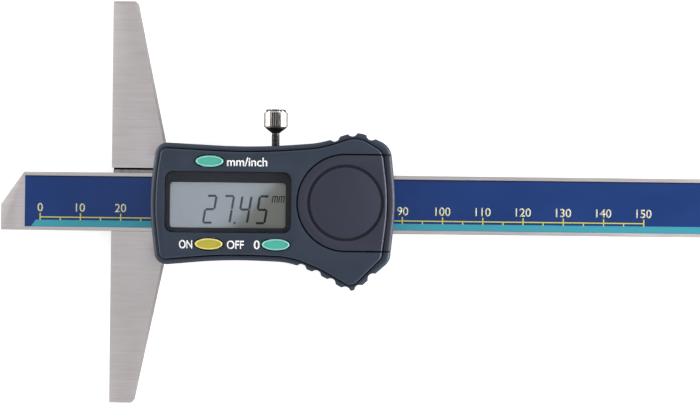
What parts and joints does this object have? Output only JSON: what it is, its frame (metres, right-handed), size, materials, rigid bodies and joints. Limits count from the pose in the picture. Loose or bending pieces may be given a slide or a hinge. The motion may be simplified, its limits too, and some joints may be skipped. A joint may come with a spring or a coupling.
{
  "type": "digital depth caliper",
  "caption": "Flat beam with a printed scale sliding in a wide T-shaped bridge, with an electronic display housing, push buttons and a knurled lock screw; measures depths.",
  "frame": {"origin": "on the bridge's measuring face, on the beam's centre line, in the plane of the back that the tool lies on", "axes": "+X along the beam away from its measuring tip, +Y along the bridge on the lock screw's side, +Z out of the display"},
  "size_m": [0.2341, 0.0998, 0.0153],
  "materials": {
    "ground_steel": "ground",
    "dark_steel": "oiled",
    "nickel_steel": "knurled",
    "battery_steel": "satin",
    "spring_metal": "satin",
    "tinned_metal": "satin",
    "brass": "satin",
    "dark_plastic": "fine satin",
    "cover_plastic": "fine satin",
    "white_plastic": "satin",
    "chip_resin": "matt",
    "glass_fibre_board": "satin",
    "printed_scale": "satin",
    "black_film": "gloss",
    "teal_button": "satin",
    "yellow_button": "satin",
    "display_glass": "polished",
    "clear_lens": "polished",
    "silicone": "matt"
  },
  "bodies": {
    "slider": {"bridge_slider": "ground_steel", "gib": "dark_steel", "gib_set_screws": "dark_steel", "lower_housing": "dark_plastic", "front_cover": "dark_plastic", "housing_screws": "dark_steel", "window_lens": "clear_lens", "display_mask": "black_film", "lcd_panel": "display_glass", "lcd_holder": "white_plastic", "zebra_strips": "silicone", "main_board": "glass_fibre_board", "controller_chip": "chip_resin", "board_components": "tinned_metal", "push_switches": "tinned_metal", "battery": "battery_steel", "battery_contact_positive": "spring_metal", "battery_contact_negative": "spring_metal"},
    "beam": {"beam": "ground_steel", "scale_grid": "glass_fibre_board", "scale_label": "printed_scale", "end_stop": "dark_steel", "end_stop_screws": "dark_steel"},
    "battery_cover": {"battery_cover": "cover_plastic"},
    "lock_shoe": {"lock_shoe": "brass"},
    "lock_screw": {"lock_screw": "nickel_steel"},
    "button_units": {"button_units": "teal_button"},
    "button_on_off": {"button_on_off": "yellow_button"},
    "button_zero": {"button_zero": "teal_button"}
  },
  "joints": [
    {"name": "beam_slide", "type": "slide", "parent": "slider", "child": "beam", "axis": [-1, 0, 0], "range_m": [-0.02745, 0.12255]},
    {"name": "battery_cover_slide", "type": "slide", "parent": "slider", "child": "battery_cover", "axis": [1, 0, 0], "range_m": [0, 0.026]},
    {"name": "lock_feed", "type": "slide", "parent": "slider", "child": "lock_shoe", "axis": [0, -1, 0], "range_m": [-0.0012, 0.0003]},
    {"name": "lock_turn", "type": "hinge", "parent": "lock_shoe", "child": "lock_screw", "pos_m": [0.04055, 0.009, 0.0047], "axis": [0, -1, 0], "range_deg": [-1080, 270]},
    {"name": "press_units", "type": "slide", "parent": "slider", "child": "button_units", "axis": [0, 0, -1], "range_m": [0, 0.0005], "stiffness_N_per_m": 3000},
    {"name": "press_on_off", "type": "slide", "parent": "slider", "child": "button_on_off", "axis": [0, 0, -1], "range_m": [0, 0.0005], "stiffness_N_per_m": 3000},
    {"name": "press_zero", "type": "slide", "parent": "slider", "child": "button_zero", "axis": [0, 0, -1], "range_m": [0, 0.0005], "stiffness_N_per_m": 3000}
  ],
  "couplings": [
    {"joint": "lock_turn", "follows": "lock_feed", "rad_per_m": 15708}
  ]
}
